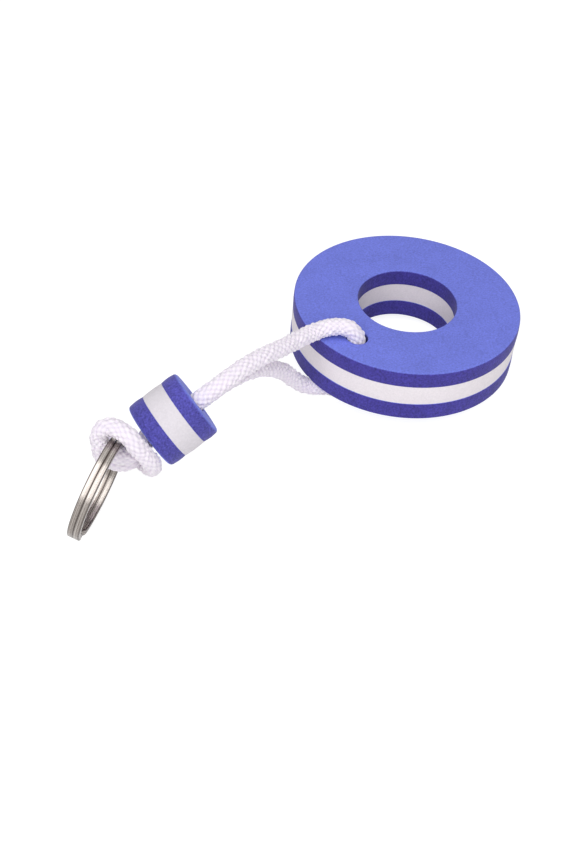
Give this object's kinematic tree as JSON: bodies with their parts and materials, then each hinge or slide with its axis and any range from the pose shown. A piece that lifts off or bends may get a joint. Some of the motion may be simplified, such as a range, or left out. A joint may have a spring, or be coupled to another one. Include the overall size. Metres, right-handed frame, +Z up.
{
  "type": "floating keychain",
  "caption": "Foam float disc with a centre hole on a doubled braided cord that runs through a foam bead and is hitched to a split key ring.",
  "frame": {"origin": "on the floor, under the middle of the box round the float, the bead and the ring", "axes": "+X from the split ring towards the float along the keychain's length, +Z up"},
  "size_m": [0.159, 0.0734, 0.0363],
  "materials": {
    "blue_foam": "matte closed-cell foam, fine speckle",
    "white_foam": "matte closed-cell foam",
    "white_cord": "braided, matte",
    "nickel_steel": "nickel-plated, bright"
  },
  "bodies": {
    "float_and_cord": {"float_bottom_layer": "blue_foam", "float_core_layer": "white_foam", "float_top_layer": "blue_foam", "bead_ring_side_layer": "blue_foam", "bead_core_layer": "white_foam", "bead_float_side_layer": "blue_foam", "cord": "white_cord"},
    "ring": {"split_ring": "nickel_steel"}
  },
  "joints": [
    {"name": "ring_turn", "type": "hinge", "parent": "float_and_cord", "child": "ring", "pos_m": [-0.06729, -0.02438, 0.01522], "axis": [0.6776, -0.6719, -0.299], "continuous": true}
  ]
}
